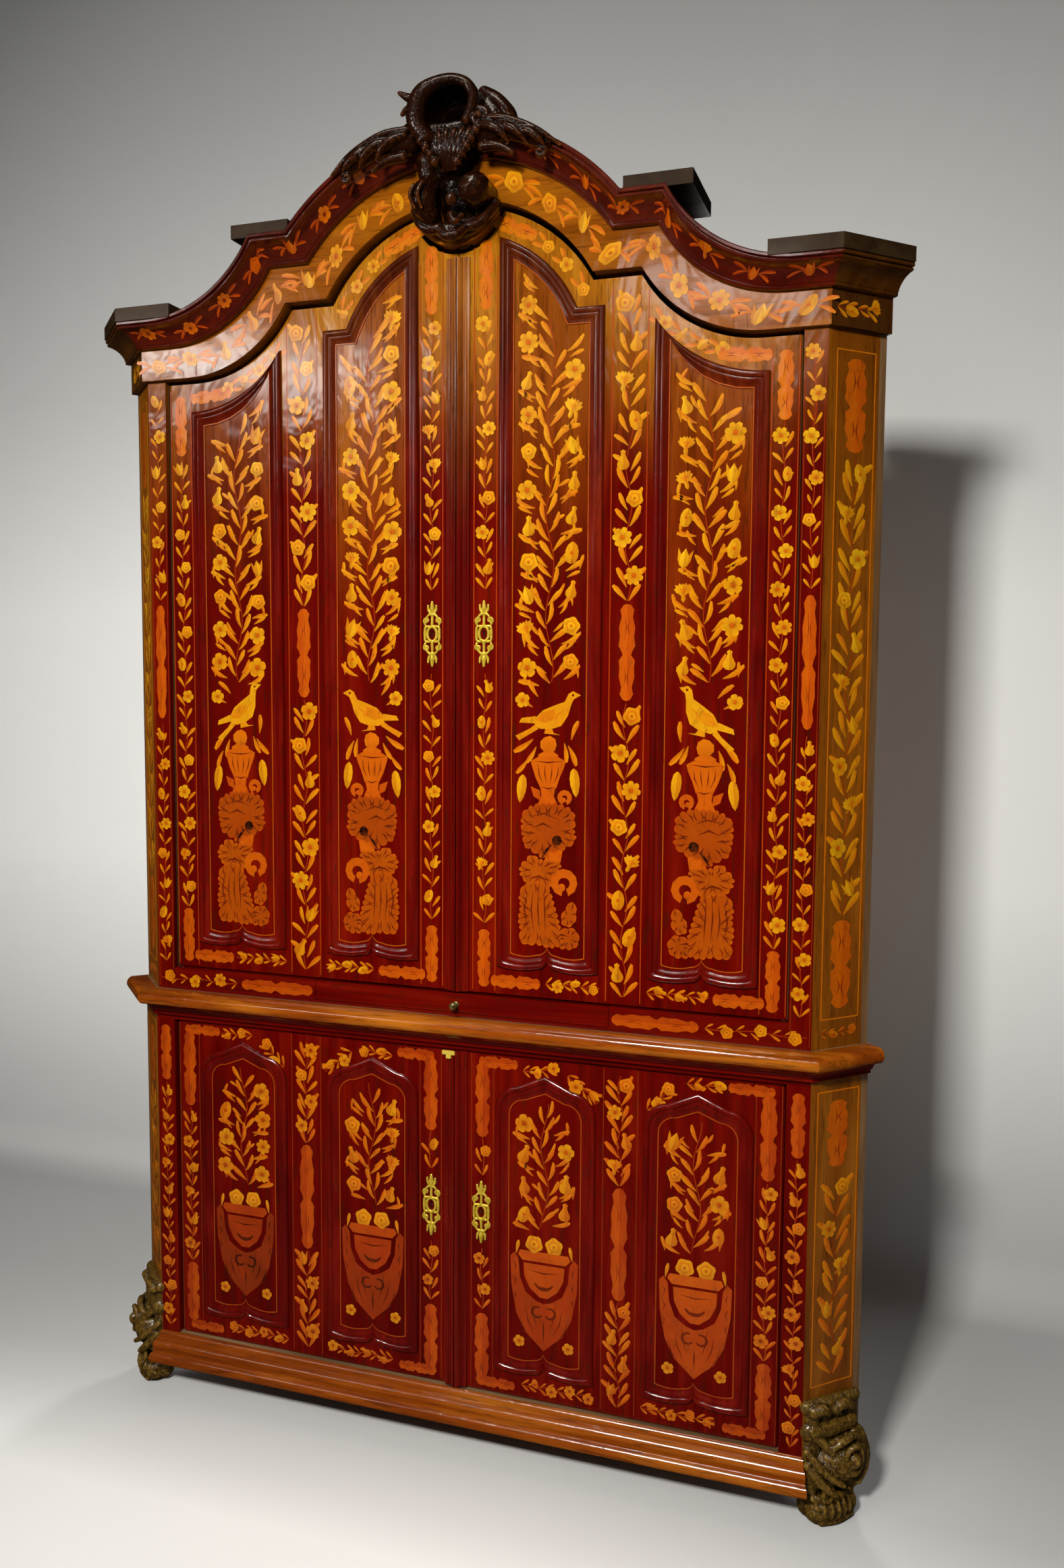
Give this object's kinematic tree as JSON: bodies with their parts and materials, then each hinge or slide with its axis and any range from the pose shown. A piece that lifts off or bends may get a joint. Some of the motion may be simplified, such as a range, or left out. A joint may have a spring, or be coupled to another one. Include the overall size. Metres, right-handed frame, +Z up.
{
  "type": "corner cabinet",
  "caption": "Tall two-part corner cabinet with an arched hood, carved crest and feet, panelled doors inlaid with flowers, shelves and a pull-out slide, standing across a wall corner.",
  "frame": {"origin": "on the floor, under the middle of the cabinet's overall box", "axes": "+X to the right seen from the front, -Y out of the front, +Y to the wall corner, +Z up"},
  "size_m": [1.5356, 0.8906, 2.45],
  "materials": {
    "veneer": "polished",
    "panel_veneer": "polished",
    "moulding": "polished",
    "carving": "waxed",
    "carcase": "matte",
    "brass": "satin",
    "iron": "satin"
  },
  "bodies": {
    "cabinet": {"base_moulding": "moulding", "cornice_front": "moulding", "cornice_returns": "moulding", "crest": "carving", "foot_left": "carving", "foot_rear": "carcase", "foot_right": "carving", "frieze": "veneer", "frieze_returns": "veneer", "hood_roof": "carcase", "lower_back_left": "carcase", "lower_back_right": "carcase", "lower_bottom": "carcase", "lower_head_rail": "veneer", "lower_shelf": "carcase", "lower_side_left": "veneer", "lower_side_right": "veneer", "lower_stile_left": "veneer", "lower_stile_right": "veneer", "lower_top": "carcase", "pivot_pins": "iron", "platforms": "carcase", "slide_bed": "carcase", "upper_back_left": "carcase", "upper_back_right": "carcase", "upper_bottom": "carcase", "upper_shelves": "carcase", "upper_side_left": "veneer", "upper_side_right": "veneer", "upper_stile_left": "veneer", "upper_stile_right": "veneer", "waist_moulding": "moulding", "waist_rail": "veneer"},
    "upper_door_right": {"upper_door_frame_right": "veneer", "upper_door_panels_right": "panel_veneer", "upper_panel_mouldings_right": "moulding", "upper_astragal_right": "moulding", "upper_escutcheon_right": "brass", "upper_lock": "iron"},
    "upper_door_left": {"upper_door_frame_left": "veneer", "upper_door_panels_left": "panel_veneer", "upper_panel_mouldings_left": "moulding", "upper_astragal_left": "moulding", "upper_escutcheon_left": "brass"},
    "lower_door_right": {"lower_door_frame_right": "veneer", "lower_door_panels_right": "panel_veneer", "lower_panel_mouldings_right": "moulding", "lower_astragal_right": "moulding", "lower_escutcheon_right": "brass", "lower_lock": "iron"},
    "lower_door_left": {"lower_door_frame_left": "veneer", "lower_door_panels_left": "panel_veneer", "lower_panel_mouldings_left": "moulding", "lower_astragal_left": "moulding", "lower_escutcheon_left": "brass"},
    "slide": {"slide_board": "veneer", "slide_knob": "brass"},
    "upper_bolt": {"upper_lock_bolt": "iron"},
    "lower_bolt": {"lower_lock_bolt": "iron"}
  },
  "joints": [
    {"name": "upper_door_right_hinge", "type": "hinge", "parent": "cabinet", "child": "upper_door_right", "pos_m": [0.5915, -0.3375, 0.871], "axis": [0, 0, 1], "range_deg": [0, 95]},
    {"name": "upper_door_left_hinge", "type": "hinge", "parent": "cabinet", "child": "upper_door_left", "pos_m": [-0.5915, -0.3375, 0.871], "axis": [0, 0, -1], "range_deg": [0, 95]},
    {"name": "lower_door_right_hinge", "type": "hinge", "parent": "cabinet", "child": "lower_door_right", "pos_m": [0.5915, -0.342, 0.119], "axis": [0, 0, 1], "range_deg": [0, 95]},
    {"name": "lower_door_left_hinge", "type": "hinge", "parent": "cabinet", "child": "lower_door_left", "pos_m": [-0.5915, -0.342, 0.119], "axis": [0, 0, -1], "range_deg": [0, 95]},
    {"name": "slide_run", "type": "slide", "parent": "cabinet", "child": "slide", "axis": [0, -1, 0], "range_m": [0, 0.3]},
    {"name": "upper_bolt_throw", "type": "slide", "parent": "upper_door_right", "child": "upper_bolt", "axis": [-1, 0, 0], "range_m": [0, 0.014]},
    {"name": "lower_bolt_throw", "type": "slide", "parent": "lower_door_right", "child": "lower_bolt", "axis": [-1, 0, 0], "range_m": [0, 0.014]}
  ]
}
